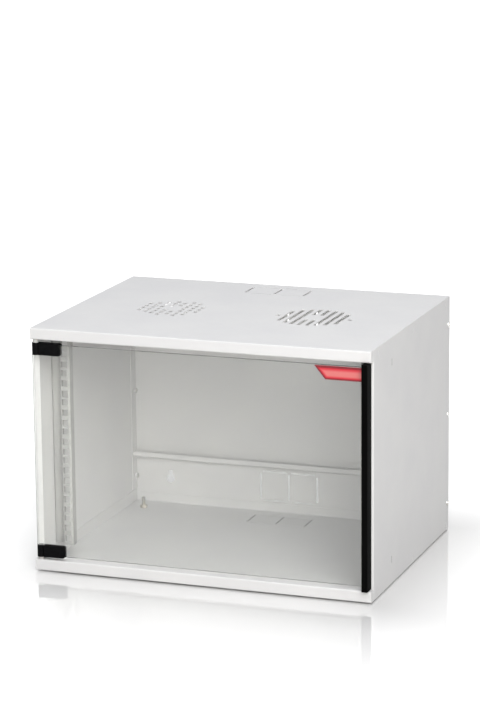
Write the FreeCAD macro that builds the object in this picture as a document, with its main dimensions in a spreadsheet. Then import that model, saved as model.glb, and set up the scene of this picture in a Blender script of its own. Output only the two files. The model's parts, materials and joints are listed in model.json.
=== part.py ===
import FreeCAD, Part
import Sketcher
import os
import re

# Wall mount network cabinet, 7 rack units high, with a glass door on pivot hinges.
# Millimetres. Z is up, the door faces -Y, and the origin is the middle of the underside,
# half way between the front of the lips and the wall face.

doc = FreeCAD.newDocument("WallCabinet")
sizes = doc.addObject("Spreadsheet::Sheet", "Sizes")

VALUES = {
    # carcass
    "width": 520, "depth": 400, "height": 367, "gauge": 1.2, "bend": 1.3, "past": 1,
    "lipHeight": 17, "doorZone": 12, "hemHeight": 7, "panFlange": 20, "rearFlange": 15,
    "frontFlange": 10,
    # hook tabs of the pans and rack rails, in slots of the side panels
    "tabHeight": 9.6, "slotHeight": 11, "slotWidth": 3.2, "tabRow": 10,
    "tabFront": 34, "tabMiddle": 206, "tabRear": 378,
    # fan vents: long slots over the right fan, short staggered ones over the left
    "fanOffset": 112, "fanRow": 192, "ventRadius": 56, "ventHub": 14, "slotPitch": 12.4,
    "ventSlot": 6, "bridgePitch": 15, "shortSlot": 10, "shortReach": 52,
    # break-out plates for cables
    "knockPitch": 47, "knockGap": 3, "knockThin": 1.4, "knockBridge": 2.5, "knockRow": 354.5,
    # rear: two wall rails and the panel between them
    "railHeight": 76.2, "foldDepth": 13, "upstand": 7.8, "trayFlange": 20, "railMiddle": 42.5,
    "keySpacing": 400, "keyRound": 14, "keySlot": 6, "keyRise": 13.5, "keyDrop": 1.5,
    "panelGap": 1, "panelReturn": 10, "flangeGap": 2,
    # 19 inch rack rails
    "rackGauge": 1.5, "rackUnit": 44.45, "rackUnits": 7, "rackOpening": 450, "rackCentres": 465.1,
    "rackFace": 60, "rackStrip": 16, "rackStep": 11, "rackReturn": 15, "rackFoot": 39,
    "rackMargin": 4.4, "squareHole": 9.5, "rackTabLevel": 36.5, "rackTabRow": 100,
    "holeLow": 6.35, "holeMiddle": 22.225, "holeHigh": 38.1,
    # side fixings: screws into weld nuts on the rear flanges
    "fixingRow": 393, "screwHole": 5.2, "screwShank": 4.8, "screwHead": 9, "headHeight": 2.2,
    "screwLength": 7, "nutFlats": 8, "nutHeight": 3.5,
    # door
    "glassGap": 3, "glassThick": 4, "glassLeft": 258.5, "glassRight": 255, "glassHole": 9,
    "glassBottom": 22.5, "glassTop": 343, "arris": 0.5,
    "gripLeft": 248, "gripRight": 257, "gripNose": 9, "gripBack": 11, "gripBottom": 18,
    "gripTop": 349, "gripEdge": 1.2, "capThick": 1.5, "magnetLength": 30, "magnetWidth": 5,
    "magnetDepth": 2.5, "magnetLevel": 50, "magnetInset": 2, "magnetProud": 0.6,
    "labelLeft": 175, "labelRight": 246, "labelHeight": 20, "labelThick": 0.2, "labelSlant": 16.5,
    "labelDrop": 1,
    # pivot hinges
    "pivotSide": 253, "pivotRow": 5, "barrelRadius": 5.6, "clipRight": 214, "clipHeight": 18,
    "clipOver": 2, "clipPlate": 3, "clipCorner": 2, "coverRound": 3, "coverGap": 0.2, "webGap": 0.4,
    "padThick": 0.6, "padTall": 14, "padMargin": 0.5, "padInset": 1.5,
    "notchWide": 12, "notchGap": 0.2, "screwSide": 229, "screwLevel": 7, "clampHole": 4.4,
    "clampShank": 4, "clampHead": 7.6, "clampHeadHeight": 2,
    "pinRadius": 2, "pinDepth": 14, "pinReach": 8.6, "pinFit": 0.02, "bushWall": 2.2,
    "running": 0.05,
    # earthing point on the floor
    "earthSide": 231, "earthRow": 358, "earthStud": 6, "earthLength": 18, "earthFlats": 10,
    "earthNut": 5,
}

for row, (alias, size) in enumerate(VALUES.items(), 1):
    sizes.set(f"A{row}", alias)
    sizes.set(f"B{row}", str(size))
    sizes.setAlias(f"B{row}", alias)
doc.recompute()

X, Y, Z = 0, 1, 2
NORMALS = {"YZ": X, "XZ": Y, "XY": Z}
subParts = []


def bound(expression):
    """The expression with each sheet alias written as Sizes.alias."""
    return re.sub(r"[A-Za-z]+", lambda word: ("Sizes." if word[0] in VALUES else "") + word[0], expression)


def number(expression):
    """The present value of an expression on the sheet's sizes."""
    return float(sizes.evalExpression(bound(expression)))


def newBody(label):
    body = doc.addObject("PartDesign::Body", label)
    body.Label = label
    return body


def keep(subPart):
    """Marks an object as a sub-part that is exported under its label."""
    subParts.append(subPart)
    return subPart


# ---------------------------------------------------------------- outlines
def rectangle(x0, y0, x1, y1):
    return [(x0, y0), (x1, y0), (x1, y1), (x0, y1)]


def centred(x, y, wide, tall):
    return rectangle(f"{x}-{wide}/2", f"{y}-{tall}/2", f"{x}+{wide}/2", f"{y}+{tall}/2")


def circle(x, y, radius):
    return ("circle", x, y, radius)


def hexagon(x, y, flats):
    """Corners of a hexagon with flats at the left and right."""
    corner = f"{flats}/sqrt(3)"
    return [(f"{x}+({sx})*{flats}/2", f"{y}+({sy})*{corner}")
            for sx, sy in ((0, 1), (-1, 0.5), (-1, -0.5), (0, -1), (1, -0.5), (1, 0.5))]


def outlineOf(outline, curves):
    """Curves of a closed polygon or a circle, and its constraints with the expressions that drive them."""
    if outline[0] == "circle":
        _, x, y, radius = outline
        middle = FreeCAD.Vector(number(x), number(y), 0)
        curve = Part.Circle(middle, FreeCAD.Vector(0, 0, 1), number(radius))
        size = Sketcher.Constraint("Radius", curves, number(radius))
        return [curve], [], [fromOrigin("DistanceX", curves, 3, x), fromOrigin("DistanceY", curves, 3, y),
                             (size, radius)]
    points = [FreeCAD.Vector(number(x), number(y), 0) for x, y in outline]
    lines = [Part.LineSegment(start, end) for start, end in zip(points, points[1:] + points[:1])]
    rows = list(range(curves, curves + len(lines)))
    joints = [Sketcher.Constraint("Coincident", line, 2, following, 1)
              for line, following in zip(rows, rows[1:] + rows[:1])]
    driven = []
    for line, (x, y) in zip(rows, outline):
        driven.append(fromOrigin("DistanceX", line, 1, x))
        driven.append(fromOrigin("DistanceY", line, 1, y))
    return lines, joints, driven


def fromOrigin(kind, curve, point, expression):
    return Sketcher.Constraint(kind, -1, 1, curve, point, number(expression)), expression


def newSketch(body, plane, level, outlines):
    """A sketch parallel to one of the body's origin planes, at a level along its normal."""
    sketch = body.newObject("Sketcher::SketchObject", body.Name + "_sketch")
    role = plane + "_Plane"
    sketch.AttachmentSupport = [(next(f for f in body.Origin.OriginFeatures if f.Role == role), "")]
    sketch.MapMode = "FlatFace"
    towards = "-" if plane == "XZ" else ""
    sketch.setExpression("AttachmentOffset.Base.z", bound(f"{towards}({level})"))
    curves = []
    joints = []
    driven = []
    for outline in outlines:
        added = outlineOf(outline, len(curves))
        curves += added[0]
        joints += added[1]
        driven += added[2]
    sketch.addGeometry(curves, False)
    sketch.addConstraint(joints + [constraint for constraint, _ in driven])
    for row, (_, expression) in enumerate(driven, len(joints)):
        sketch.setExpression(f"Constraints[{row}]", bound(expression))
    return sketch


# ---------------------------------------------------------------- features
def solid(body, plane, outlines, low, high):
    """Material with these outlines, from low to high along the plane's axis."""
    sketch = newSketch(body, plane, high if plane == "XZ" else low, outlines)
    pad = body.newObject("PartDesign::Pad", body.Name + "_pad")
    pad.Profile = sketch
    pad.setExpression("Length", bound(f"({high})-({low})"))
    return pad


def cut(body, plane, outlines, low, high):
    """The same space taken away. A pocket runs against the plane's normal."""
    sketch = newSketch(body, plane, low if plane == "XZ" else high, outlines)
    pocket = body.newObject("PartDesign::Pocket", body.Name + "_cut")
    pocket.Profile = sketch
    pocket.setExpression("Length", bound(f"({high})-({low})"))
    return pocket


def turned(body, plane, outline, axis):
    """A profile turned about the sketch's own horizontal or vertical axis."""
    sketch = newSketch(body, plane, "0", [outline])
    revolution = body.newObject("PartDesign::Revolution", body.Name + "_turned")
    revolution.Profile = sketch
    revolution.ReferenceAxis = (sketch, [axis])
    revolution.Angle = 360
    return revolution


def repeated(body, feature, direction, length, occurrences):
    """A row of the feature along one of the body's axes."""
    pattern = body.newObject("PartDesign::LinearPattern", body.Name + "_row")
    pattern.Originals = [feature]
    role = direction + "_Axis"
    pattern.Direction = (next(f for f in body.Origin.OriginFeatures if f.Role == role), [""])
    pattern.setExpression("Length", bound(length))
    pattern.setExpression("Occurrences", bound(occurrences))
    body.Tip = pattern
    return pattern


def edgesAt(shape, places):
    """Names of the edges whose ends all lie at one of the places, each a dictionary of axis to value."""
    names = []
    for index, edge in enumerate(shape.Edges, 1):
        for place in places:
            if all(abs(vertex.Point[axis] - value) < 1e-4 for vertex in edge.Vertexes
                   for axis, value in place.items()):
                names.append(f"Edge{index}")
                break
    return names


def rounded(body, radius, places, kind="Fillet", size="Radius"):
    """Rounds, or chamfers, the edges at these places."""
    doc.recompute()
    base = body.Tip
    feature = body.newObject("PartDesign::" + kind, f"{body.Name}_{kind.lower()}")
    feature.Base = (base, edgesAt(base.Shape, places))
    feature.setExpression(size, bound(radius))
    return feature


# ---------------------------------------------------------------- folded sheet
def foldedOutline(path, gauge, side):
    """Outline of a folded sheet. The path is one face of it, with the metal on its left (1) or right (-1)."""
    steps = []
    for (x0, y0), (x1, y1) in zip(path, path[1:]):
        dx = number(x1) - number(x0)
        dy = number(y1) - number(y0)
        steps.append(((dx > 1e-6) - (dx < -1e-6), (dy > 1e-6) - (dy < -1e-6)))
    normals = [(-side * dy, side * dx) for dx, dy in steps]
    corners = []
    for index, (x, y) in enumerate(path):
        near = {normals[max(index - 1, 0)], normals[min(index, len(normals) - 1)]}
        nx = sum(normal[0] for normal in near)
        ny = sum(normal[1] for normal in near)
        corners.append((f"{x}+({nx})*{gauge}", f"{y}+({ny})*{gauge}"))
    return list(path) + corners[::-1], corners, steps


def foldedSheet(body, plane, path, gauge, side, low, high):
    """Pads a folded sheet and returns the corner lines outside and inside its bends."""
    outline, corners, steps = foldedOutline(path, gauge, side)
    solid(body, plane, [outline], low, high)
    first, second = [axis for axis in (X, Y, Z) if axis != NORMALS[plane]]
    outside = []
    inside = []
    for index in range(1, len(path) - 1):
        (ax, ay), (bx, by) = steps[index - 1], steps[index]
        face = {first: number(path[index][0]), second: number(path[index][1])}
        back = {first: number(corners[index][0]), second: number(corners[index][1])}
        towardsMetal = (ax * by - ay * bx) * side > 0
        outside.append(face if towardsMetal else back)
        inside.append(back if towardsMetal else face)
    return outside, inside


def roundBends(body, bends, gauge="gauge", plain=()):
    """Outer and inner radius at every bend, and a flat instead at the plain ones, which are out of sight."""
    for corners, radius in zip(bends, (f"bend+{gauge}", "bend")):
        seen = [place for index, place in enumerate(corners) if index not in plain]
        if seen:
            rounded(body, radius, seen)
        if plain:
            rounded(body, radius, [corners[index] for index in plain], "Chamfer", "Size")


# ---------------------------------------------------------------- levels and rows
front = "(-depth/2)"
rear = "(depth/2)"
side = "(width/2)"
stop = f"({front}+doorZone)"
innerSide = f"({side}-gauge)"
innerRear = f"({rear}-gauge)"
glassFront = f"({front}+glassGap)"
glassBack = f"({front}+glassGap+glassThick)"
pivotY = f"({front}+pivotRow)"


def hookSlots(wide, tall):
    """The six hook places of a side panel, as outlines in the YZ plane."""
    return [centred(f"({front}+{row})", level, wide, tall)
            for row in ("tabFront", "tabMiddle", "tabRear") for level in ("tabRow", "(height-tabRow)")]


def onBothSides(make, body, plane, outlines, low, high):
    """Makes the feature between low and high, and its mirror image at the other side."""
    make(body, plane, outlines, low, high)
    make(body, plane, outlines, f"-({high})", f"-({low})")


def knockOuts(middle):
    """Slits that leave two square break-out plates side by side, held by bridges at their corners."""
    reach = "(knockPitch-2*knockBridge-knockThin)"
    outlines = [centred(f"({column}*knockPitch)", middle, "knockGap", reach) for column in (-1, 0, 1)]
    for column in (-0.5, 0.5):
        for edge in (-0.5, 0.5):
            outlines.append(centred(f"({column}*knockPitch)", f"({middle}+({edge})*knockPitch)",
                                    "(knockPitch-knockGap-2*knockBridge)", "knockThin"))
    return outlines


# ---------------------------------------------------------------- top and bottom pans
def level(height, up):
    """A height counted from the pan's own plate: from the underside up, or from the top down."""
    return f"({height})" if up else f"(height-({height}))"


def ventColumns():
    """Distances of the slots from the middle of the fan."""
    return [f"({column}-0.5)*slotPitch" for column in range(-4, 6)]


def slot(fan, across, low, high):
    """One slot of a vent, between two distances in front of and behind the fan's middle."""
    x = f"({fan}*fanOffset+{across})"
    middle = f"({front}+fanRow)"
    return rectangle(f"{x}-ventSlot/2", f"{middle}+{low}", f"{x}+ventSlot/2", f"{middle}+{high}")


def longSlots(fan):
    """Long slots from front to rear, ending on the vent's circle and broken by its hub."""
    outlines = []
    for across in ventColumns():
        reach = f"sqrt(ventRadius^2-({across})^2)"
        if abs(number(across)) > number("ventHub"):
            outlines.append(slot(fan, across, f"-{reach}", reach))
            continue
        hub = f"sqrt((ventHub+ventSlot/2)^2-({across})^2)"
        outlines.append(slot(fan, across, f"-{reach}", f"-{hub}"))
        outlines.append(slot(fan, across, hub, reach))
    return outlines


def shortSlots(fan):
    """Short staggered slots with bridges between them, inside the vent's circle and round its hub."""
    outlines = []
    for column, across in enumerate(ventColumns()):
        for step in range(-5, 6):
            along = f"({step}+{column % 2}/2)*bridgePitch"
            distance = (number(across) ** 2 + number(along) ** 2) ** 0.5
            if number("ventHub") < distance < number("shortReach"):
                outlines.append(slot(fan, across, f"{along}-shortSlot/2", f"{along}+shortSlot/2"))
    return outlines


def pan(label, up):
    """Top or bottom pan: plate, front lip with its return and hem, flanges at the sides and rear."""
    body = newBody(label)
    path = [(innerRear, level("rearFlange", up)), (innerRear, level("0", up)), (front, level("0", up)),
            (front, level("lipHeight", up)), (stop, level("lipHeight", up)),
            (stop, level("lipHeight-hemHeight", up))]
    bends = foldedSheet(body, "YZ", path, "gauge", -1 if up else 1, f"-{innerSide}", innerSide)
    lows, highs = sorted((level("0", up), level("lipHeight", up)), key=number)
    onBothSides(solid, body, "YZ", [rectangle(front, lows, stop, highs)], innerSide, side)
    lows, highs = sorted((level("gauge", up), level("panFlange", up)), key=number)
    flange = rectangle(f"{stop}+2*gauge", lows, f"{innerRear}-2*gauge", highs)
    onBothSides(solid, body, "YZ", [flange], f"{innerSide}-gauge", innerSide)
    tabs = [centred(f"({front}+{row})", level("tabRow", up), "gauge", "tabHeight")
            for row in ("tabFront", "tabMiddle", "tabRear")]
    onBothSides(solid, body, "YZ", tabs, innerSide, side)
    roundBends(body, bends, plain=(0, 3))
    bottom, top = sorted((level("-past", up), level("gauge+past", up)), key=number)
    cut(body, "XY", knockOuts(f"({front}+knockRow)"), bottom, top)
    low, high = sorted((level("lipHeight-gauge-past", up), level("lipHeight+past", up)), key=number)
    cut(body, "XY", [circle("-pivotSide", pivotY, "pinRadius+running")], low, high)
    return body, bottom, top


bottomPan, _, _ = pan("bottom_panel", True)
topPan, plateLow, plateHigh = pan("top_panel", False)
cut(topPan, "XY", longSlots(1), plateLow, plateHigh)
cut(topPan, "XY", shortSlots(-1), plateLow, plateHigh)
keep(bottomPan)
keep(topPan)


# ---------------------------------------------------------------- side panels
def sidePanel(label, hand):
    """Side panel with its front flange, hook slots and screw holes. hand is -1 left, 1 right."""
    body = newBody(label)
    path = [(f"{hand}*({side}-frontFlange)", stop), (f"{hand}*{side}", stop), (f"{hand}*{side}", rear)]
    bends = foldedSheet(body, "XY", path, "gauge", hand, "0", "height")
    roundBends(body, bends)
    near, far = sorted((f"{hand}*({side}-frontFlange-past)", f"{hand}*{innerSide}"), key=number)
    notch = rectangle(near, f"{stop}-past", far, f"{stop}+bend+2*gauge")
    for low, high in (("-past", "gauge"), ("height-gauge", "height+past")):
        cut(body, "XY", [notch], low, high)
    openings = hookSlots("slotWidth", "slotHeight")
    openings += [centred(f"({front}+rackTabRow)", height, "slotWidth", "slotHeight")
                 for height in ("rackTabLevel", "(height-rackTabLevel)")]
    openings += [circle(f"({front}+fixingRow)", height, "screwHole/2")
                 for height in ("railMiddle", "height/2", "height-railMiddle")]
    low, high = sorted((f"{hand}*({side}-gauge-past)", f"{hand}*({side}+past)"), key=number)
    cut(body, "YZ", openings, low, high)
    return keep(body)


sidePanel("left_side_panel", -1)
sidePanel("right_side_panel", 1)


# ---------------------------------------------------------------- rear
def sideFlanges(body, low, high, hole):
    """Forward flanges at both sides of a rear sheet, each with a weld nut for its screw."""
    row = f"({front}+fixingRow)"
    outline = rectangle(f"{rear}-trayFlange", low, innerRear, high)
    onBothSides(solid, body, "YZ", [outline], f"{innerSide}-gauge", innerSide)
    onBothSides(solid, body, "YZ", [hexagon(row, hole, "nutFlats")],
                f"({innerSide}-gauge-nutHeight)", f"({innerSide}-gauge)")
    onBothSides(cut, body, "YZ", [circle(row, hole, "screwShank/2+running")],
                f"({innerSide}-gauge-nutHeight-past)", f"({innerSide}+past)")


def keyEntries(middle):
    """Round entries of the two keyholes."""
    return [circle(f"({hand}*keySpacing/2)", middle, "keyRound/2") for hand in (-1, 1)]


def keySlots(middle):
    """Slots above the round entries."""
    return [rectangle(f"({hand}*keySpacing/2)-keySlot/2", middle, f"({hand}*keySpacing/2)+keySlot/2",
                      f"{middle}+keyRise") for hand in (-1, 1)]


def wallRail(label, up):
    """Full-width rail that hangs on the wall screws, with keyholes and break-out plates."""
    body = newBody(label)
    fold = f"{rear}-foldDepth"
    path = [(rear, level("0", up)), (rear, level("railHeight", up)), (fold, level("railHeight", up)),
            (fold, level("railHeight+upstand", up))]
    bends = foldedSheet(body, "YZ", path, "gauge", 1 if up else -1, f"-{innerSide}", innerSide)
    roundBends(body, bends, plain=(0, 1))
    low, high = sorted((level("panFlange+flangeGap", up), level("railHeight", up)), key=number)
    sideFlanges(body, low, high, level("railMiddle", up))
    middle = f"({level('railMiddle', up)}-keyDrop)"
    for outlines in (keyEntries(middle), keySlots(middle), knockOuts(level("railMiddle", up))):
        cut(body, "XZ", outlines, f"{innerRear}-past", f"{rear}+past")
    return keep(body)


wallRail("lower_wall_rail", True)
wallRail("upper_wall_rail", False)

rearPanel = newBody("rear_panel")
panelLow = "(railHeight+panelGap)"
panelHigh = "(height-railHeight-panelGap)"
panelPath = [(f"{rear}-panelReturn", panelLow), (rear, panelLow), (rear, panelHigh),
             (f"{rear}-panelReturn", panelHigh)]
panelBends = foldedSheet(rearPanel, "YZ", panelPath, "gauge", 1, f"-{innerSide}", innerSide)
roundBends(rearPanel, panelBends, plain=(0, 1))
sideFlanges(rearPanel, "(railHeight+upstand+panelGap)", "(height-railHeight-upstand-panelGap)", "height/2")
keep(rearPanel)


# ---------------------------------------------------------------- 19 inch rack rails
def rackRail(label, hand):
    """Hat-section rail: return, punched face, step back, flange to the side panel and foot along it."""
    body = newBody(label)
    face = f"({front}+rackFace)"
    step = f"({face}+rackStep)"
    inner = f"({hand}*rackOpening/2)"
    outer = f"({hand}*(rackOpening/2+rackStrip))"
    wall = f"({hand}*{innerSide})"
    path = [(inner, f"{face}+rackReturn"), (inner, face), (outer, face), (outer, step), (wall, step),
            (wall, f"{face}+rackStep+rackFoot")]
    low = "(height/2-rackUnits*rackUnit/2-rackMargin)"
    high = "(height/2+rackUnits*rackUnit/2+rackMargin)"
    bends = foldedSheet(body, "XY", path, "rackGauge", hand, low, high)
    roundBends(body, bends, "rackGauge", plain=(0, 1, 2, 3))
    tabs = [centred(f"({front}+rackTabRow)", height, "gauge", "tabHeight")
            for height in ("rackTabLevel", "(height-rackTabLevel)")]
    near, far = sorted((wall, f"({hand}*{side})"), key=number)
    solid(body, "YZ", tabs, near, far)
    bottom = "(height/2-rackUnits*rackUnit/2)"
    squares = [centred(f"({hand}*rackCentres/2)", f"({bottom}+{hole})", "squareHole", "squareHole")
               for hole in ("holeLow", "holeMiddle", "holeHigh")]
    holes = cut(body, "XZ", squares, f"{face}-past", f"{face}+rackGauge+past")
    repeated(body, holes, "Z", "(rackUnits-1)*rackUnit", "rackUnits")
    return keep(body)


rackRail("left_rack_rail", -1)
rackRail("right_rack_rail", 1)


# ---------------------------------------------------------------- fasteners
def placed(body, x, y, z, axis=None, angle=0):
    """Puts a finished fastener in its place."""
    turn = FreeCAD.Rotation(FreeCAD.Vector(*(axis or (0, 0, 1))), angle)
    body.Placement = FreeCAD.Placement(FreeCAD.Vector(number(x), number(y), number(z)), turn)
    for name, place in (("x", x), ("y", y), ("z", z)):
        body.setExpression(f"Placement.Base.{name}", bound(place))
    return body


def panHeadScrew(name, shank, length, head, headHeight):
    """Screw along Z: its head above the sheet at zero, its shank below."""
    body = newBody(name)
    turned(body, "XZ", [("0", f"-({length})"), (f"{shank}/2", f"-({length})"), (f"{shank}/2", "0"),
                        (f"{head}/2", "0"), (f"{head}/2", headHeight), ("0", headHeight)], "V_Axis")
    return body


def group(label, bodies):
    """Identical pieces kept together as one sub-part of separate solids."""
    compound = doc.addObject("Part::Compound", label)
    compound.Label = label
    compound.Links = bodies
    return keep(compound)


FIXINGS = {"lower_rail": "railMiddle", "rear_panel": "height/2", "upper_rail": "height-railMiddle"}
for owner, height in FIXINGS.items():
    screws = []
    for hand, name in ((-1, "left"), (1, "right")):
        screw = panHeadScrew(f"{owner}_{name}_screw", "screwShank", "screwLength", "screwHead", "headHeight")
        screws.append(placed(screw, f"{hand}*{side}", f"{front}+fixingRow", height, (0, 1, 0), hand * 90))
    group(f"{owner}_screws", screws)


# ---------------------------------------------------------------- earthing point
earthPlace = ("-earthSide", f"{front}+earthRow", "gauge")
stud = newBody("earth_stud")
solid(stud, "XY", [circle("0", "0", "earthStud/2")], "0", "earthLength")
keep(placed(stud, *earthPlace))

nut = newBody("earth_nut")
solid(nut, "XY", [hexagon("0", "0", "earthFlats")], "0", "earthNut")
cut(nut, "XY", [circle("0", "0", "earthStud/2+running")], "-past", "earthNut+past")
keep(placed(nut, *earthPlace))


# ---------------------------------------------------------------- glass door
# heights of each hinge clip: its screw, its underside and its top
HINGES = {"upper": ("(glassTop-screwLevel)", "(glassTop+clipOver-clipHeight)", "(glassTop+clipOver)"),
          "lower": ("(glassBottom+screwLevel)", "(glassBottom-clipOver)",
                    "(glassBottom-clipOver+clipHeight)")}

glass = newBody("door_glass")
notchSide = "(-glassLeft+notchWide)"
notchTop = "(glassTop-clipHeight+clipOver-notchGap)"
notchBottom = "(glassBottom+clipHeight-clipOver+notchGap)"
solid(glass, "XZ", [[(notchSide, "glassBottom"), ("glassRight", "glassBottom"), ("glassRight", "glassTop"),
                     (notchSide, "glassTop"), (notchSide, notchTop), ("-glassLeft", notchTop),
                     ("-glassLeft", notchBottom), (notchSide, notchBottom)]], glassFront, glassBack)
arrises = [{X: number("-glassLeft"), Y: number(row)} for row in (glassFront, glassBack)]
arrises += [{Z: number(height), Y: number(row)} for height in ("glassTop", "glassBottom")
            for row in (glassFront, glassBack)]
rounded(glass, "arris", arrises, "Chamfer", "Size")
cut(glass, "XZ", [circle("-screwSide", screw, "glassHole/2") for screw, _, _ in HINGES.values()],
    f"{glassFront}-past", f"{glassBack}+past")
keep(glass)

grip = newBody("door_handle")
gripFront = f"({front}-gripNose)"
gripRear = f"({front}+gripBack)"
gripNose = [{X: number("gripLeft"), Y: number(gripFront)}, {X: number("gripRight"), Y: number(gripFront)}]
solid(grip, "XY", [[("gripLeft", gripFront), ("gripRight", gripFront), ("gripRight", gripRear),
                    ("gripLeft", gripRear), ("gripLeft", glassBack), ("glassRight", glassBack),
                    ("glassRight", glassFront), ("gripLeft", glassFront)]],
      "gripBottom+capThick", "gripTop-capThick")
rounded(grip, "gripEdge", gripNose, "Chamfer", "Size")
magnetFront = f"({gripRear}-magnetDepth)"
MAGNETS = {name: rectangle("gripRight-magnetInset-magnetWidth", low, "gripRight-magnetInset",
                           f"{low}+magnetLength")
           for name, low in (("lower", "(gripBottom+magnetLevel)"),
                             ("upper", "(gripTop-magnetLevel-magnetLength)"))}
cut(grip, "XZ", list(MAGNETS.values()), magnetFront, f"{gripRear}+past")
keep(grip)

magnets = []
for name, outline in MAGNETS.items():
    magnet = newBody(f"{name}_magnet")
    solid(magnet, "XZ", [outline], magnetFront, f"{gripRear}+magnetProud")
    magnets.append(magnet)
group("handle_magnets", magnets)

caps = []
for name, low in (("lower", "gripBottom"), ("upper", "gripTop-capThick")):
    cap = newBody(f"{name}_handle_cap")
    solid(cap, "XY", [rectangle("gripLeft", gripFront, "gripRight", gripRear)], low, f"{low}+capThick")
    rounded(cap, "gripEdge", gripNose, "Chamfer", "Size")
    caps.append(cap)
group("handle_end_caps", caps)

label = newBody("door_label")
labelTop = "(glassTop-labelDrop)"
solid(label, "XZ", [[("labelLeft", labelTop), ("labelLeft+labelSlant", f"{labelTop}-labelHeight"),
                     ("labelRight", f"{labelTop}-labelHeight"), ("labelRight", labelTop)]],
      f"{glassFront}-labelThick", glassFront)
keep(label)


# ---------------------------------------------------------------- pivot hinges
coverBack = f"({glassFront}-padThick)"
coverFront = f"({coverBack}-clipPlate)"
plateFront = f"({glassBack}+padThick)"
plateBack = f"({plateFront}+clipPlate)"
clampLength = "clipPlate+2*padThick+glassThick"


def freeCorners(low, high):
    """Edges of a clip plate away from its pivot."""
    return [{X: number("-clipRight"), Z: number(height)} for height in (low, high)]


def clampPad(name, row, edge, inwards):
    """Rubber pad on one face of the glass, notched from the glass edge down past the clamp screw."""
    pad = newBody(name)
    near = f"({edge}+({inwards})*padMargin)"
    far = f"({edge}+({inwards})*(padMargin+padTall))"
    notch = f"({edge}+({inwards})*(screwLevel+glassHole/2))"
    outline = [(f"{notchSide}+padMargin", far), ("-clipRight-padInset", far), ("-clipRight-padInset", near),
               ("-screwSide+glassHole/2", near), ("-screwSide+glassHole/2", notch),
               ("-screwSide-glassHole/2", notch), ("-screwSide-glassHole/2", near),
               (f"{notchSide}+padMargin", near)]
    solid(pad, "XZ", [outline], row, f"{row}+padThick")
    return pad


for name, (screwHeight, clipLow, clipHigh) in HINGES.items():
    upper = name == "upper"
    edge = "glassTop" if upper else "glassBottom"
    webLow, webHigh = (("glassTop+webGap", clipHigh) if upper else (clipLow, "glassBottom-webGap"))
    boreLow, boreHigh = ((f"{clipHigh}-pinDepth", f"{clipHigh}+past") if upper
                         else (f"{clipLow}-past", f"{clipLow}+pinDepth"))

    clip = newBody(f"{name}_hinge_body")
    solid(clip, "XY", [circle("-pivotSide", pivotY, "barrelRadius")], clipLow, clipHigh)
    solid(clip, "XY", [rectangle("-pivotSide", plateFront, "-clipRight", plateBack)], clipLow, clipHigh)
    solid(clip, "XY", [rectangle("-pivotSide", coverBack, "-clipRight", plateBack)], webLow, webHigh)
    rounded(clip, "clipCorner", freeCorners(clipLow, clipHigh), "Chamfer", "Size")
    cut(clip, "XY", [circle("-pivotSide", pivotY, "pinRadius+pinFit")], boreLow, boreHigh)
    cut(clip, "XZ", [circle("-screwSide", screwHeight, "clampHole/2")],
        f"{plateFront}-past", f"{plateBack}+past")
    keep(clip)

    cover = newBody(f"{name}_hinge_cover")
    solid(cover, "XZ", [rectangle("-pivotSide+barrelRadius+coverGap", clipLow, "-clipRight", clipHigh)],
          coverFront, coverBack)
    rounded(cover, "coverRound", freeCorners(clipLow, clipHigh))
    keep(cover)

    group(f"{name}_hinge_pads", [clampPad(f"{name}_front_pad", coverBack, edge, -1 if upper else 1),
                                 clampPad(f"{name}_rear_pad", glassBack, edge, -1 if upper else 1)])

    # clamp screw from the rear: its head bears on the clip and its tip meets the cover
    screw = panHeadScrew(f"{name}_hinge_screw", "clampShank", clampLength, "clampHead", "clampHeadHeight")
    keep(placed(screw, "-screwSide", plateBack, screwHeight, (1, 0, 0), -90))

    pinLow, pinHigh = (("-pinDepth", "pinReach") if upper else ("-pinReach", "pinDepth"))
    pin = newBody(f"{name}_hinge_pin")
    solid(pin, "XY", [circle("0", "0", "pinRadius")], pinLow, pinHigh)
    keep(placed(pin, "-pivotSide", pivotY, clipHigh if upper else clipLow))

    # nylon bush round the pin, between the hinge and the lip of the pan
    bush = newBody(f"{name}_pivot_bush")
    bushLow, bushHigh = ((f"{clipHigh}+2*running", "height-lipHeight") if upper
                         else ("lipHeight", f"{clipLow}-2*running"))
    solid(bush, "XY", [circle("-pivotSide", pivotY, "pinRadius+bushWall")], bushLow, bushHigh)
    cut(bush, "XY", [circle("-pivotSide", pivotY, "pinRadius+running")],
        f"{bushLow}-past", f"{bushHigh}+past")
    keep(bush)


# ---------------------------------------------------------------- check and export
doc.recompute()
for item in doc.Objects:
    if {"Invalid", "Error"} & set(item.State):
        raise RuntimeError(f"{item.Label} failed: {item.State}")
os.makedirs("parts", exist_ok=True)
for subPart in subParts:
    shape = subPart.Shape
    if shape.isNull() or not shape.isValid():
        raise RuntimeError(f"{subPart.Label} has no valid shape")
    shape.exportStep(f"parts/{subPart.Label}.step")
    print(f"{subPart.Label}: {len(shape.Solids)} solid(s), {shape.Volume:.0f} mm3")
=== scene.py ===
import json
import math

import bmesh
import bpy
import numpy as np
from mathutils import Matrix, Vector


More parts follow.
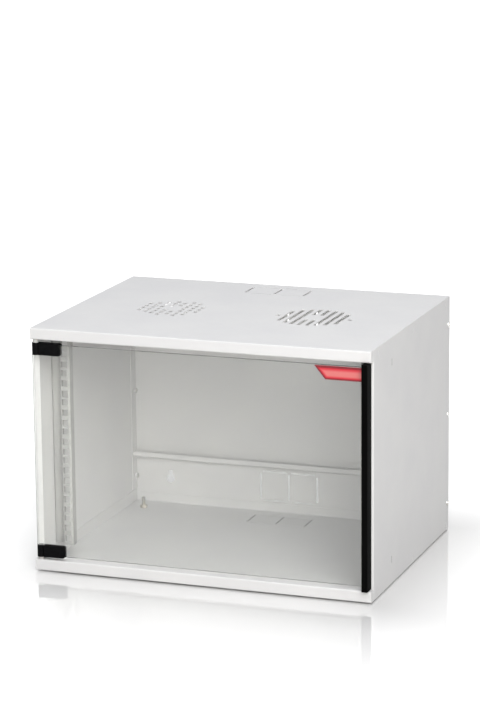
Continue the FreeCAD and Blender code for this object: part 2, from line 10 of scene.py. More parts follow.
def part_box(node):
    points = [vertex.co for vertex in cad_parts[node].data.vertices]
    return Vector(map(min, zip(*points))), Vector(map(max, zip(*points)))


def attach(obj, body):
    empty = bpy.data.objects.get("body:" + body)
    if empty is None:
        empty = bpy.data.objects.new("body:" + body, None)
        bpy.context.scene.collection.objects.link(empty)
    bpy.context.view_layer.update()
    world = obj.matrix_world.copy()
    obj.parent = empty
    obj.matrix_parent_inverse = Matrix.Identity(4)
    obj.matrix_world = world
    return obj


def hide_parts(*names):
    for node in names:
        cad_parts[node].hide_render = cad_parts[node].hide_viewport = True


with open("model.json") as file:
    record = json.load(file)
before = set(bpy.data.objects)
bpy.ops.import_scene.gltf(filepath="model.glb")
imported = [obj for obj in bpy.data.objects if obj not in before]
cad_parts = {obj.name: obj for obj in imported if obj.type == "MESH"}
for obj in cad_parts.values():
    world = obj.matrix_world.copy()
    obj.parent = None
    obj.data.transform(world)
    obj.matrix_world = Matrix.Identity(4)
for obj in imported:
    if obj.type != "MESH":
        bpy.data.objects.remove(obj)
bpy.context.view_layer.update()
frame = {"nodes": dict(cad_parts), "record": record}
print("frame loaded:", len(frame["nodes"]), "nodes")

mm = 0.001  # sizes are written in millimetres, the scene is in metres
scene = bpy.context.scene
scene.view_settings.view_transform = "Standard"


def fromHex(code):
    # sRGB hex to linear red, green, blue and alpha
    channels = np.array([int(code[start:start + 2], 16) / 255 for start in (0, 2, 4)])
    linear = np.where(channels <= 0.04045, channels / 12.92, ((channels + 0.055) / 1.055) ** 2.4)
    return [*linear.tolist(), 1]


def addNode(tree, kind, inputs=None, **settings):
    # one shader node; inputs are plain values or the sockets that feed it
    made = tree.nodes.new("ShaderNode" + kind)
    for name, value in settings.items():
        setattr(made, name, value)
    for name, value in (inputs or {}).items():
        if isinstance(value, bpy.types.NodeSocket):
            tree.links.new(value, made.inputs[name])
        else:
            made.inputs[name].default_value = value
    return made


def newMaterial(name):
    made = bpy.data.materials.new(name)
    made.use_nodes = True
    made.node_tree.nodes.clear()
    return made, made.node_tree


# how the mottled finishes use their noise: the part of its range that is spread over the colours and over
# the roughness, its octaves, and the share of a bump that is used
noise = {"shades": (0.35, 0.65), "gloss": (0.3, 0.7), "detail": 3.0, "bumpShare": 0.6}


def mottledFinish(facts):
    # two near colours drift into each other, the gloss wanders a little, and a fine grain lies over a
    # slower waviness; every size is in millimetres, and stretch draws the pattern out along an axis
    made, tree = newMaterial(facts["name"])
    place = addNode(tree, "TexCoord").outputs["Object"]
    shrink = [1 / factor for factor in facts.get("stretch", (1, 1, 1))]
    drawn = addNode(tree, "Mapping", {"Vector": place, "Scale": shrink}).outputs["Vector"]
    drift, gloss, wave, grain = [
        addNode(tree, "TexNoise", {"Vector": drawn, "Scale": 1 / (size * mm),
                                   "Detail": noise["detail"]}).outputs["Fac"]
        for size in (facts["driftSize"], facts["glossSize"], facts["wave"][0], facts["grain"][0])]
    shade = addNode(tree, "MapRange", {"Value": drift, "From Min": noise["shades"][0],
                                       "From Max": noise["shades"][1]})
    colour = addNode(tree, "Mix", {0: shade.outputs["Result"], 6: fromHex(facts["colours"][0]),
                                   7: fromHex(facts["colours"][1])}, data_type="RGBA")
    rough = addNode(tree, "MapRange", {"Value": gloss, "From Min": noise["gloss"][0],
                                       "From Max": noise["gloss"][1], "To Min": facts["roughness"][0],
                                       "To Max": facts["roughness"][1]})
    wavy = addNode(tree, "Bump", {"Height": wave, "Distance": facts["wave"][1] * mm,
                                  "Strength": noise["bumpShare"]})
    grainy = addNode(tree, "Bump", {"Height": grain, "Distance": facts["grain"][1] * mm,
                                    "Strength": noise["bumpShare"], "Normal": wavy.outputs["Normal"]})
    shader = addNode(tree, "BsdfPrincipled", {
        "Base Color": colour.outputs[2], "Roughness": rough.outputs["Result"],
        "Normal": grainy.outputs["Normal"], **facts["shader"]})
    addNode(tree, "OutputMaterial", {"Surface": shader.outputs["BSDF"]})
    return made


# polyester powder on sheet steel, sprayed and baked: an even light grey whose fine orange peel breaks up
# highlights, with the faintest drift in tone from one spray pass to the next; real peel is finer, and is
# drawn at 1.1 mm so that it shows
powderCoat = {
    "name": "lightGreyPowderCoat", "colours": ("d6d6d6", "d2d2d3"), "driftSize": 90, "glossSize": 5,
    "wave": (14, 0.06), "grain": (1.1, 0.05), "roughness": (0.46, 0.54), "shader": {"IOR": 1.5}}
# the rack rails' light grey powder painted darker, a painted shade for the shade they stand in inside the
# cabinet, and a little flatter
railPowderCoatPaintedShade = {
    "name": "railPowderCoatPaintedShade", "colours": ("aaaaa8", "a4a4a3"), "driftSize": 60, "glossSize": 5,
    "wave": (14, 0.05), "grain": (1.1, 0.05), "roughness": (0.5, 0.58), "shader": {"IOR": 1.5}}
# bright zinc, electroplated: silver with a cloudy blue and straw cast
zincPlate = {
    "name": "brightZincPlate", "colours": ("c4cad2", "d6d0c2"), "driftSize": 3, "glossSize": 0.8,
    "wave": (2, 0.01), "grain": (0.5, 0.02), "roughness": (0.2, 0.38), "shader": {"Metallic": 1.0}}
# brass turned from bar and tinned against tarnish: pale silver with a warm cast, fine rings from the tool
tinnedBrass = {
    "name": "tinnedBrass", "colours": ("dedbd3", "cfc8b8"), "driftSize": 4, "glossSize": 1.5,
    "wave": (2, 0.01), "grain": (0.6, 0.02), "roughness": (0.24, 0.38), "stretch": (1, 1, 0.15),
    "shader": {"Metallic": 1.0}}
# unfilled nylon, moulded: milky grey and a little translucent
naturalNylon = {
    "name": "naturalNylon", "colours": ("b8b8b5", "aeaeab"), "driftSize": 6, "glossSize": 2,
    "wave": (4, 0.02), "grain": (0.7, 0.02), "roughness": (0.38, 0.5),
    "shader": {"IOR": 1.53, "Subsurface Weight": 0.1, "Subsurface Scale": 0.5 * mm}}
# black PVC, extruded: near black and matt, with faint draw lines along its length
extrudedPvc = {
    "name": "extrudedBlackPvc", "colours": ("0a0a0a", "060606"), "driftSize": 8, "glossSize": 3.6,
    "wave": (6, 0.03), "grain": (0.9, 0.03), "roughness": (0.48, 0.58), "stretch": (1, 1, 20),
    "shader": {"IOR": 1.5, "Specular IOR Level": 0.01}}
# black nylon, moulded in a spark-eroded tool: near black with a fine matt grain
mouldedNylon = {
    "name": "mouldedBlackNylon", "colours": ("101011", "09090a"), "driftSize": 8, "glossSize": 2,
    "wave": (5, 0.04), "grain": (0.5, 0.03), "roughness": (0.48, 0.6),
    "shader": {"IOR": 1.5, "Specular IOR Level": 0.03}}
# black rubber sheet, cut: dull and soft looking
cutRubber = {
    "name": "blackRubber", "colours": ("1b1b1b", "121212"), "driftSize": 8, "glossSize": 3,
    "wave": (5, 0.03), "grain": (0.8, 0.04), "roughness": (0.7, 0.85), "shader": {"IOR": 1.5}}
# ferrite powder, pressed and sintered: dull gritty charcoal
sinteredFerrite = {
    "name": "sinteredFerrite", "colours": ("3c3d40", "2a2b2d"), "driftSize": 1.2, "glossSize": 2,
    "wave": (3, 0.02), "grain": (0.4, 0.05), "roughness": (0.6, 0.75), "shader": {"IOR": 1.5}}

glassFacts = {"tint": "e7e8e6", "index": 1.52, "waveSize": 160, "waveDepth": 0.02, "waveShare": 0.3}


def temperedGlass(facts):
    # clear float glass, tempered: all but colourless, with the slow roller wave of the furnace, which
    # bends reflections a little
    made, tree = newMaterial("temperedFloatGlass")
    place = addNode(tree, "TexCoord").outputs["Object"]
    wave = addNode(tree, "TexNoise", {"Vector": place, "Scale": 1 / (facts["waveSize"] * mm),
                                      "Detail": 1.0})
    bent = addNode(tree, "Bump", {"Height": wave.outputs["Fac"], "Distance": facts["waveDepth"] * mm,
                                  "Strength": facts["waveShare"]})
    shader = addNode(tree, "BsdfPrincipled", {
        "Base Color": fromHex(facts["tint"]), "Roughness": 0.0, "IOR": facts["index"],
        "Transmission Weight": 1.0, "Normal": bent.outputs["Normal"]})
    addNode(tree, "OutputMaterial", {"Surface": shader.outputs["BSDF"]})
    return made


# colours of the film by distance from its edge, as a share of reach
filmFacts = {
    "reach": 6, "slant": 16.5, "topShare": 0.7,
    "stops": ((0.0, "a82838"), (0.1, "6e0616"), (0.3, "760818"), (0.46, "be1228"), (0.68, "c83e48"),
              (1.0, "cc6e6c")),
    "peelSize": 2.5, "peelDepth": 0.02, "peelShare": 0.4, "roughness": (0.3, 0.45)}


def printedFilm(facts):
    # vinyl film, screen printed: a deep red border that softens into a paler bare panel; the distance is
    # the smallest of those to the bottom, the top and the slanted end
    made, tree = newMaterial("redVinylFilm")
    low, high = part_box("door_label")
    slope = Vector((high.z - low.z, 0, facts["slant"] * mm)).normalized()
    share = facts["topShare"]
    edges = ((Vector((0, 0, 1)), -low.z), (Vector((0, 0, -share)), high.z * share),
             (slope, -slope.dot(Vector((low.x, 0, high.z)))))
    place = addNode(tree, "TexCoord").outputs["Object"]
    away = []
    for direction, offset in edges:
        along = addNode(tree, "VectorMath", {0: place, 1: direction}, operation="DOT_PRODUCT")
        moved = addNode(tree, "Math", {0: along.outputs["Value"], 1: offset}, operation="ADD")
        away.append(moved.outputs[0])
    nearest = addNode(tree, "Math", {0: away[0], 1: away[1]}, operation="MINIMUM")
    nearest = addNode(tree, "Math", {0: nearest.outputs[0], 1: away[2]}, operation="MINIMUM")
    inwards = addNode(tree, "MapRange", {"Value": nearest.outputs[0], "From Max": facts["reach"] * mm})
    band = addNode(tree, "ValToRGB", {"Fac": inwards.outputs["Result"]})
    stops = band.color_ramp.elements
    stops[1].position = facts["stops"][-1][0]
    stops[0].color, stops[1].color = fromHex(facts["stops"][0][1]), fromHex(facts["stops"][-1][1])
    for position, code in facts["stops"][1:-1]:
        stops.new(position).color = fromHex(code)
    gloss = addNode(tree, "TexNoise", {"Vector": place, "Scale": 1 / (facts["peelSize"] * mm),
                                       "Detail": 2.0})
    rough = addNode(tree, "MapRange", {"Value": gloss.outputs["Fac"], "To Min": facts["roughness"][0],
                                       "To Max": facts["roughness"][1]})
    peel = addNode(tree, "Bump", {"Height": gloss.outputs["Fac"], "Distance": facts["peelDepth"] * mm,
                                  "Strength": facts["peelShare"]})
    shader = addNode(tree, "BsdfPrincipled", {
        "Base Color": band.outputs["Color"], "Roughness": rough.outputs["Result"], "IOR": 1.5,
        "Normal": peel.outputs["Normal"]})
    addNode(tree, "OutputMaterial", {"Surface": shader.outputs["BSDF"]})
    return made


finishes = {
    "powder_coated_steel": mottledFinish(powderCoat),
    "powder_coated_rail": mottledFinish(railPowderCoatPaintedShade),
    "zinc_plated_steel": mottledFinish(zincPlate),
    "brass": mottledFinish(tinnedBrass),
    "natural_nylon": mottledFinish(naturalNylon),
    "tempered_glass": temperedGlass(glassFacts),
    "black_pvc": mottledFinish(extrudedPvc),
    "black_nylon": mottledFinish(mouldedNylon),
    "black_rubber": mottledFinish(cutRubber),
    "ferrite": mottledFinish(sinteredFerrite),
    "red_label_film": printedFilm(filmFacts),
}


def paint(piece, finish):
    piece.data.materials.clear()
    piece.data.materials.append(finishes[finish])


slotOf = {row["node"]: row["material_slot"] for row in frame["record"]["subparts"]}
bodyOf = {node: body for body, nodes in frame["record"]["behaviour"]["bodies"].items() for node in nodes}
for name, finish in slotOf.items():
    paint(frame["nodes"][name], finish)
# lamp light reaches the inside of the cabinet straight through the clear door
frame["nodes"]["door_glass"].visible_shadow = False
print("materials:", len(finishes))


mergeWithin = 0.001  # millimetres


def ringFaces(rows, columns):
    # quads between neighbouring rings of points, each ring closed on itself
    row, column = np.meshgrid(np.arange(rows - 1), np.arange(columns), indexing="ij")
    following = (column + 1) % columns
    corners = (row * columns + column, row * columns + following,
               (row + 1) * columns + following, (row + 1) * columns + column)
    return np.stack(corners, -1).reshape(-1, 4)


def makePiece(name, shells, node, smoothUnder=35):
    # one mesh of closed shells in millimetres, standing for a CAD node; a shell is rings x points x 3,
    # and unless its last ring is its first, both end rings are closed by a face or meet in a point
    faces = []
    start = 0
    for shell in shells:
        rows, columns = shell.shape[:2]
        faces += (ringFaces(rows, columns) + start).tolist()
        if not np.allclose(shell[0], shell[-1]):
            ends = (start, start + (rows - 1) * columns)
            faces += [list(range(first, first + columns)) for first in ends]
        start += rows * columns
    mesh = bpy.data.meshes.new(name)
    mesh.from_pydata((np.concatenate([shell.reshape(-1, 3) for shell in shells]) * mm).tolist(), [], faces)
    shape = bmesh.new()
    shape.from_mesh(mesh)
    bmesh.ops.remove_doubles(shape, verts=shape.verts, dist=mergeWithin * mm)
    bmesh.ops.recalc_face_normals(shape, faces=shape.faces)
    shape.to_mesh(mesh)
    shape.free()
    mesh.polygons.foreach_set("use_smooth", np.ones(len(mesh.polygons), bool))
    mesh.set_sharp_from_angle(angle=math.radians(smoothUnder))
    piece = bpy.data.objects.new(name, mesh)
    scene.collection.objects.link(piece)
    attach(piece, bodyOf[node])
    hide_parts(node)
    paint(piece, slotOf[node])
    return piece


def boxOf(node):
    # lowest and highest corners of a CAD node, in millimetres
    return [np.array(corner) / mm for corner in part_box(node)]


def cornersOf(low, high, first, second):
    # the four corners of a box seen along an axis, from its low corner round to its high one and back
    return [(low[first], low[second]), (high[first], low[second]), (high[first], high[second]),
            (low[first], high[second])]


def roundedOutline(corners, radii, steps=7):
    # closed outline: each corner becomes a quadratic curve that starts one radius before it on one side
    # and ends one radius after it on the next
    corners = np.array(corners, float)
    radii = np.broadcast_to(np.array(radii, float), len(corners))[:, None]
    back = np.roll(corners, 1, 0) - corners
    ahead = np.roll(corners, -1, 0) - corners
    starts = corners + back / np.linalg.norm(back, axis=1, keepdims=True) * radii
    ends = corners + ahead / np.linalg.norm(ahead, axis=1, keepdims=True) * radii
    along = np.linspace(0, 1, steps)[:, None, None]
    curves = (1 - along) ** 2 * starts + 2 * along * (1 - along) * corners + along ** 2 * ends
    return curves.transpose(1, 0, 2).reshape(-1, 2)


def pillowPlate(outline, thickness, edge, rise=None, steps=16, turnSteps=6):
    # plate on a flat back: its sides go straight up, turn in by a quarter circle of radius edge, and its
    # face is the outline drawn in to its middle, at thickness plus rise(a, b)
    middle = (outline.min(0) + outline.max(0)) / 2
    half = (outline.max(0) - outline.min(0)) / 2
    turn = np.linspace(0, math.pi / 2, turnSteps)[:, None, None]
    drawn = np.linspace(1, 0, steps)[1:, None, None]
    scales = [np.ones((1, 1, 2)), 1 - edge * (1 - np.cos(turn)) / half, drawn * (1 - edge / half)]
    depths = [np.zeros(1), thickness - edge + edge * np.sin(turn[:, 0, 0]), np.full(steps - 1, thickness)]
    flat = middle + (outline - middle) * np.concatenate(scales)
    depth = np.broadcast_to(np.concatenate(depths)[:, None], flat.shape[:2]).copy()
    if rise:
        depth[1:] += rise(flat[1:, :, 0], flat[1:, :, 1])
    return flat[..., 0], flat[..., 1], depth


def standing(points, origin, outward):
    # turns a shape made round the z axis so that z points outward, and moves its base to origin
    turn = np.array(Vector(outward).to_track_quat("Z", "Y").to_matrix())
    return points @ turn.T + np.array(origin)


def ringPoints(angles, radii, heights):
    # points of a turned shape: each ring has a radius and a height for each angle
    angles, radii, heights = np.broadcast_arrays(angles, radii, heights)
    return np.stack([radii * np.cos(angles), radii * np.sin(angles), heights], -1)


def threadRings(angles, radius, length, thread):
    # a helical ridge: the radius falls from the crest by a triangle wave of height over pitch minus turn,
    # and by a cone at the tip; rings run from height zero down to the tip
    heights = -np.linspace(0, length, int(length / thread["pitch"] * thread["rings"]))[:, None]
    turn = heights / thread["pitch"] - angles / (2 * math.pi)
    radii = radius - thread["depth"] * np.abs(2 * (turn % 1) - 1)
    radii = np.minimum(radii, radius - thread["tip"] + heights + length)
    return ringPoints(angles, radii, heights)


def crossOutline(angles, driver):
    # radius of a cross-shaped recess: each arm ends at its reach or where it is half a width from its axis
    across = driver["width"] / 2 / np.maximum(np.abs(np.stack([np.sin(angles), np.cos(angles)])), 1e-6)
    return np.minimum(across, driver["reach"]).max(0)


def hexOutline(angles, flats):
    # radius of a hexagon with flats at zero degrees and each 60 degrees on: half the width over flats by
    # the cosine of the angle from the nearest flat's middle
    sixth = math.pi / 3
    return flats / 2 / np.cos((angles + sixth / 2) % sixth - sixth / 2)


def drivenScrew(angles, recess, head, shank, thread):
    # screw round the z axis, head above zero: the flat recess bottom, its wall, a domed head whose rings
    # blend from the recess outline to the round rim, the rim's side, and the threaded shank; the dome
    # falls by the root of one minus the share of the radius to the power of its fullness
    blend = np.linspace(0, 1, head["rings"])[:, None]
    crown = recess + (head["radius"] - recess) * blend
    fall = np.sqrt(1 - np.clip(crown / head["radius"], 0, 1) ** head["fullness"])
    dome = head["rim"] + (head["height"] - head["rim"]) * fall
    bottom = np.full(angles.shape, head["height"] - head["recess"])
    rim = np.full_like(recess, head["radius"])
    radii = np.vstack([np.zeros_like(recess), recess * head["taper"], crown, rim])
    heights = np.vstack([bottom, bottom, dome, np.zeros_like(recess)])
    closing = ringPoints(angles, 0, -shank["length"])[None]
    body = threadRings(angles, shank["radius"], shank["length"], thread)
    return np.concatenate([ringPoints(angles, radii, heights), body, closing])


# pan-head screws with a cross recess, M5 x 7, one each side at three heights
panelScrews = {
    "nodes": ("lower_rail_screws", "rear_panel_screws", "upper_rail_screws"), "columns": 64,
    "driver": {"width": 1.5, "reach": 2.5},
    "head": {"radius": 4.5, "height": 2.2, "rim": 0.7, "recess": 1.5, "taper": 0.82, "fullness": 3,
             "rings": 8},
    "shank": {"radius": 2.4, "length": 7}, "thread": {"pitch": 0.8, "depth": 0.4, "rings": 6, "tip": 0.5}}


def addPanelScrews(facts):
    # two screws a node, heads outwards, each seated a head's height inside the end of the node's box
    angles = np.linspace(0, 2 * math.pi, facts["columns"], endpoint=False)
    recess = crossOutline(angles, facts["driver"])
    screw = drivenScrew(angles, recess, facts["head"], facts["shank"], facts["thread"])
    for node in facts["nodes"]:
        low, high = boxOf(node)
        middle = (low + high) / 2
        seat = high[0] - facts["head"]["height"]
        shells = [standing(screw, (hand * seat, middle[1], middle[2]), (hand, 0, 0)) for hand in (-1, 1)]
        makePiece(node + "_recessed", shells, node)


addPanelScrews(panelScrews)

# button-head clamp screws with a hexagon socket, M4, driven from behind the glass
clampScrews = {
    "nodes": ("lower_hinge_screw", "upper_hinge_screw"), "columns": 60, "socket": 2.5,
    "head": {"radius": 3.8, "height": 2, "rim": 0.5, "recess": 1.2, "taper": 0.82, "fullness": 3,
             "rings": 8},
    "shank": {"radius": 2, "length": 8.2},
    "thread": {"pitch": 0.7, "depth": 0.35, "rings": 6, "tip": 0.4}}


def addClampScrews(facts):
    # one screw at the middle of each node, its head to the back and its top at the node's back face
    angles = np.linspace(0, 2 * math.pi, facts["columns"], endpoint=False)
    socket = hexOutline(angles, facts["socket"])
    screw = drivenScrew(angles, socket, facts["head"], facts["shank"], facts["thread"])
    for node in facts["nodes"]:
        low, high = boxOf(node)
        middle = (low + high) / 2
        seat = high[1] - facts["head"]["height"]
        makePiece(node + "_socketed", [standing(screw, (middle[0], seat, middle[2]), (0, 1, 0))], node)


addClampScrews(clampScrews)

# welded M6 stud and its nut
earthing = {
    "columns": 48, "thread": {"pitch": 1.0, "depth": 0.5, "rings": 8, "tip": 0.6}, "nutColumns": 72,
    "chamfer": 0.5, "chamferAngle": 30, "chamferRings": 5, "chamferInset": 0.1, "boreLead": 0.5,
    "boreGap": 0.05}


def addEarthStud(facts):
    # a thread the height of its node, closed at both ends by a fan to its axis, tip upwards
    low, high = boxOf("earth_stud")
    middle = (low + high) / 2
    angles = np.linspace(0, 2 * math.pi, facts["columns"], endpoint=False)
    length = high[2] - low[2]
    shank = threadRings(angles, (high[0] - low[0]) / 2, length, facts["thread"])
    stud = np.concatenate([ringPoints(angles, 0, 0)[None], shank, ringPoints(angles, 0, -length)[None]])
    stud = standing(stud, (middle[0], middle[1], low[2]), (0, 0, -1))
    makePiece("earth_stud_threaded", [stud], "earth_stud")


def addEarthNut(facts):
    # hexagon cut back by a cone at both faces, and a bore with a countersunk lead, whose last ring is
    # its first
    low, high = boxOf("earth_nut")
    middle = (low + high) / 2
    tall = high[2] - low[2]
    studLow, studHigh = boxOf("earth_stud")
    bore = (studHigh[0] - studLow[0]) / 2 + facts["boreGap"]
    angles = np.linspace(0, 2 * math.pi, facts["nutColumns"], endpoint=False)
    flats = high[0] - low[0]
    drop = np.linspace(0, facts["chamfer"], facts["chamferRings"])[:, None]
    spread = flats / 2 - facts["chamferInset"] + drop / math.tan(math.radians(facts["chamferAngle"]))
    cone = np.minimum(hexOutline(angles, flats), spread)
    lead = facts["boreLead"]
    inside = [np.full_like(angles, wide) for wide in (bore + lead, bore, bore, bore + lead)]
    radii = np.vstack([cone, cone[::-1], *inside, cone[:1]])
    levels = [*drop[:, 0], *(tall - drop[::-1, 0]), tall, tall - lead, lead, 0, 0]
    nut = ringPoints(angles, radii, np.array(levels)[:, None])
    makePiece("earth_nut_chamfered", [nut + np.array((middle[0], middle[1], low[2]))], "earth_nut")


addEarthStud(earthing)
addEarthNut(earthing)
print("fasteners turned")

# moulded clamp covers: rounded at the free end, with a low round boss over the clamp screw
hingeCovers = {
    "hinges": ("lower", "upper"), "freeCorner": 3.4, "pivotCorner": 1.0, "edge": 1.2, "rings": 26,
    "bossRadius": 5.4, "bossSlope": 1.6, "bossRise": 0.55, "smoothUnder": 50}


def addHingeCovers(facts):
    for hinge in facts["hinges"]:
        node = hinge + "_hinge_cover"
        low, high = boxOf(node)
        bossX, bossZ = sum(boxOf(hinge + "_hinge_screw"))[[0, 2]] / 2

        def boss(across, level):
            # a smooth step in distance from the screw: three squares less two cubes of the share
            away = np.hypot(across - bossX, level - bossZ)
            share = np.clip((facts["bossRadius"] + facts["bossSlope"] - away) / facts["bossSlope"], 0, 1)
            return facts["bossRise"] * share * share * (3 - 2 * share)

        radii = [facts["pivotCorner"], facts["freeCorner"], facts["freeCorner"], facts["pivotCorner"]]
        outline = roundedOutline(cornersOf(low, high, 0, 2), radii)
        thickness = high[1] - low[1] - facts["bossRise"]
        across, level, depth = pillowPlate(outline, thickness, facts["edge"], boss, facts["rings"])
        cover = np.stack([across, high[1] - depth, level], -1)
        makePiece(node + "_moulded", [cover], node, facts["smoothUnder"])


addHingeCovers(hingeCovers)

# extruded edge grip: a nose with fine finger ribs down its left side, and jaws that hold the glass
doorGrip = {
    "nose": 1.5, "heel": 0.6, "jaw": 0.2, "jawEdge": 0.4, "ribs": 3, "ribSteps": 12, "ribDepth": 0.35,
    "ribMargin": 2.2, "capEdge": 0.5, "smoothUnder": 40}


def addDoorGrip(facts):
    # profile in plan, carried straight up: rounded corners round a box open to the glass, with a cosine
    # ripple along the left side of the nose
    low, high = boxOf("door_handle")
    glassLow, glassHigh = boxOf("door_glass")
    corners = cornersOf(low, high, 0, 1)
    corners += [(low[0], glassHigh[1]), (glassHigh[0], glassHigh[1]), (glassHigh[0], glassLow[1]),
                (low[0], glassLow[1])]
    outside = [facts["nose"], facts["nose"], facts["heel"], facts["heel"]]
    outline = roundedOutline(corners, outside + [facts["jaw"]] * 3 + [facts["jawEdge"]])
    margin = facts["ribMargin"]
    along = np.linspace(glassLow[1] - margin, low[1] + margin, facts["ribSteps"] * facts["ribs"] + 1)
    phase = np.linspace(0, 2 * math.pi * facts["ribs"], len(along))
    ripple = np.stack([low[0] + facts["ribDepth"] * (1 - np.cos(phase)) / 2, along], -1)
    outline = np.concatenate([outline, ripple])
    levels = np.array([low[2], high[2]])[:, None]
    shell = np.stack(np.broadcast_arrays(outline[:, 0], outline[:, 1], levels), -1)
    makePiece("door_handle_ribbed", [shell], "door_handle", facts["smoothUnder"])


def addGripCaps(facts):
    # plugs that close the extrusion: the same nose, with a softened outer edge
    low, high = boxOf("handle_end_caps")
    gripLow, gripHigh = boxOf("door_handle")
    radii = [facts["nose"], facts["nose"], facts["heel"], facts["heel"]]
    outline = roundedOutline(cornersOf(low, high, 0, 1), radii)
    across, along, depth = pillowPlate(outline, high[2] - gripHigh[2], facts["capEdge"])
    shells = [np.stack([across, along, level], -1) for level in (gripLow[2] - depth, gripHigh[2] + depth)]
    makePiece("handle_end_caps_softened", shells, "handle_end_caps")


addDoorGrip(doorGrip)
addGripCaps(doorGrip)

# film label on the glass: four corners, its left end slanted as the film's edges are
labelShape = {"corner": 0.8, "leftCorner": 0.3, "edge": 0.08, "rings": 6}


def addLabel(facts):
    # a thin plate whose lower left corner is moved in by the slant
    low, high = boxOf("door_label")
    corners = cornersOf(low, high, 0, 2)
    corners[0] = (low[0] + filmFacts["slant"], low[2])
    radii = [facts["corner"], facts["corner"], facts["corner"], facts["leftCorner"]]
    outline = roundedOutline(corners, radii)
    across, level, depth = pillowPlate(outline, high[1] - low[1], facts["edge"], steps=facts["rings"])
    makePiece("door_label_film", [np.stack([across, high[1] - depth, level], -1)], "door_label")


addLabel(labelShape)
print("door pieces moulded, extruded and cut")


camera = {
    "place": (1.404, -3.858, 1.2425), "azimuth": 20.1, "elevation": 13.02, "roll": -0.58, "lens": 141.05,
    "farthest": 50}


def addCamera(facts):
    data = bpy.data.cameras.new("camera")
    data.lens = facts["lens"]
    data.clip_end = facts["farthest"]
    made = bpy.data.objects.new("camera", data)
    turn = Matrix.Rotation(math.radians(facts["azimuth"]), 4, "Z")
    tilt = Matrix.Rotation(math.radians(90 - facts["elevation"]), 4, "X")
    roll = Matrix.Rotation(math.radians(facts["roll"]), 4, "Z")
    made.matrix_world = Matrix.Translation(facts["place"]) @ turn @ tilt @ roll
    scene.collection.objects.link(made)
    scene.camera = made


addCamera(camera)

# soft boxes: degrees round from the front and up, metres from the cabinet, size in metres, power in watts
lamps = {
    "overhead": {"azimuth": 0, "elevation": 85, "away": 2.8, "size": (2.2, 2.2),
                 "power": 36, "colour": "fafbff"},
    "highBank": {"azimuth": 30, "elevation": 40, "away": 3.5, "size": (1.4, 1.4),
                 "power": 45, "colour": "ffffff"},
    "key": {"azimuth": 25, "elevation": 28, "away": 3.6, "size": (0.9, 0.9),
            "power": 18, "colour": "ffffff"},
    "lowKey": {"azimuth": 30, "elevation": 14, "away": 3.5, "size": (1.4, 1.2),
               "power": 6, "colour": "fffcf6"},
    "sideKey": {"azimuth": 44, "elevation": 18, "away": 3.5, "size": (0.9, 0.9),
                "power": 18, "colour": "fffaf2"},
    "lowBank": {"azimuth": 20, "elevation": 3, "away": 3.0, "size": (1.4, 0.6),
                "power": 15, "colour": "fffaf2"},
}
aimedAt = Vector((0, 0, 0.18))  # the middle of the cabinet


def addLamp(name, facts):
    data = bpy.data.lights.new(name, "AREA")
    data.shape = "RECTANGLE"
    data.size, data.size_y = facts["size"]
    data.energy = facts["power"]
    data.color = fromHex(facts["colour"])[:3]
    made = bpy.data.objects.new(name, data)
    around, up = math.radians(facts["azimuth"]), math.radians(facts["elevation"])
    reach = Vector((math.sin(around) * math.cos(up), -math.cos(around) * math.cos(up), math.sin(up)))
    made.matrix_world = (Matrix.Translation(aimedAt + facts["away"] * reach)
                         @ (-reach).to_track_quat("-Z", "Y").to_matrix().to_4x4())
    made.visible_camera = False
    scene.collection.objects.link(made)


for name, facts in lamps.items():
    addLamp(name, facts)


def seenDirectly(tree):
    # one for what the camera sees, also by mirror or through glass, and zero for light that falls on things
    path = addNode(tree, "LightPath")
    seen = addNode(tree, "Math", {0: path.outputs["Is Camera Ray"], 1: path.outputs["Is Transmission Ray"]},
                   operation="MAXIMUM")
    return addNode(tree, "Math", {0: seen.outputs[0], 1: path.outputs["Is Glossy Ray"]},
                   operation="MAXIMUM").outputs[0]


def addWorld(fill):
    # white where it is seen, and a plain pale grey as light
    world = bpy.data.worlds.new("studio")
    world.use_nodes = True
    scene.world = world
    tree = world.node_tree
    tree.nodes.clear()
    dim = addNode(tree, "Background", {"Color": fromHex("ffffff"), "Strength": fill})
    white = addNode(tree, "Background", {"Color": fromHex("ffffff"), "Strength": 1.0})
    mixed = addNode(tree, "MixShader", {0: seenDirectly(tree), 1: dim.outputs[0], 2: white.outputs[0]})
    addNode(tree, "OutputWorld", {"Surface": mixed.outputs[0]})


worldFill = 0.28  # strength of the world as light
addWorld(worldFill)

# glow is painted light that the sheet adds to its own light where it is seen, by the share of reach from
# the nearer of two boxes, given by middle and half size in metres: the cabinet's footprint less a strip of
# 6 cm at its left, so that painted light lifts the cabinet's shadow there, and behind the cabinet a box
# where the glow is held back, a painted shade that is seen through the holes in its back
floorFacts = {
    "halfSize": 30.0, "drop": 0.002, "colour": "e4e4e4", "reach": 2.0,
    "lacquer": {"Roughness": 0.04, "IOR": 1.62, "Coat Weight": 1.0, "Coat Roughness": 0.03,
                "Coat IOR": 1.6},
    # boxes round which the painted glow is held back: the cabinet's own shadow at its foot, and a painted
    # shade behind it
    "paintedShadeBoxes": (((0.03, 0, 0), (0.232, 0.2, 0)), ((-0.12, 0.33, 0), (0.12, 0.17, 0))),
    "glow": ((0.0, 0.0), (0.008, 0.02), (0.03, 0.13), (0.06, 0.29), (0.09, 0.4), (0.14, 0.58),
             (0.2, 0.72), (1.0, 0.85))}


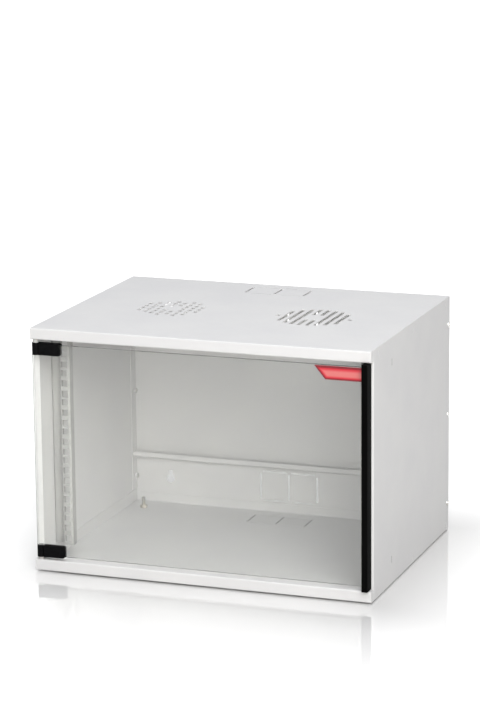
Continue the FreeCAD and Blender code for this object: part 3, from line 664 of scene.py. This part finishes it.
def addFloor(facts):
    # lacquered white acrylic sheet: it mirrors what stands on it, and a painted glow pales it to white with
    # distance
    corners = np.array([(-1, -1, 0), (1, -1, 0), (1, 1, 0), (-1, 1, 0)]) * facts["halfSize"]
    mesh = bpy.data.meshes.new("floor")
    mesh.from_pydata(corners.tolist(), [], [(0, 1, 2, 3)])
    made = bpy.data.objects.new("floor", mesh)
    made.location.z = -facts["drop"]
    scene.collection.objects.link(made)
    material, tree = newMaterial("whiteAcrylicSheet")
    place = addNode(tree, "TexCoord").outputs["Object"]
    away = []
    for middle, half in facts["paintedShadeBoxes"]:
        offset = addNode(tree, "VectorMath", {0: place, 1: middle}, operation="SUBTRACT")
        offset = addNode(tree, "VectorMath", {0: offset.outputs[0]}, operation="ABSOLUTE")
        beyond = addNode(tree, "VectorMath", {0: offset.outputs[0], 1: half}, operation="SUBTRACT")
        beyond = addNode(tree, "VectorMath", {0: beyond.outputs[0], 1: (0, 0, 0)}, operation="MAXIMUM")
        distance = addNode(tree, "VectorMath", {0: beyond.outputs[0]}, operation="LENGTH")
        away.append(distance.outputs["Value"])
    nearer = addNode(tree, "Math", {0: away[0], 1: away[1]}, operation="MINIMUM")
    share = addNode(tree, "MapRange", {"Value": nearer.outputs[0], "From Max": facts["reach"]})
    glow = addNode(tree, "ValToRGB", {"Fac": share.outputs["Result"]})
    stops = glow.color_ramp.elements
    stops[0].color = [facts["glow"][0][1]] * 3 + [1]
    stops[1].color = [facts["glow"][-1][1]] * 3 + [1]
    for position, strength in facts["glow"][1:-1]:
        stops.new(position).color = [strength] * 3 + [1]
    # painted light: where it is seen the sheet glows by the ramp, least near the cabinet and in the painted
    # shade behind it
    lift = addNode(tree, "Math", {0: seenDirectly(tree), 1: glow.outputs["Color"]}, operation="MULTIPLY")
    shader = addNode(tree, "BsdfPrincipled", {
        "Base Color": fromHex(facts["colour"]), "Emission Color": fromHex("ffffff"),
        "Emission Strength": lift.outputs[0], **facts["lacquer"]})
    addNode(tree, "OutputMaterial", {"Surface": shader.outputs["BSDF"]})
    mesh.materials.append(material)


addFloor(floorFacts)
print("camera, lamps and floor placed")
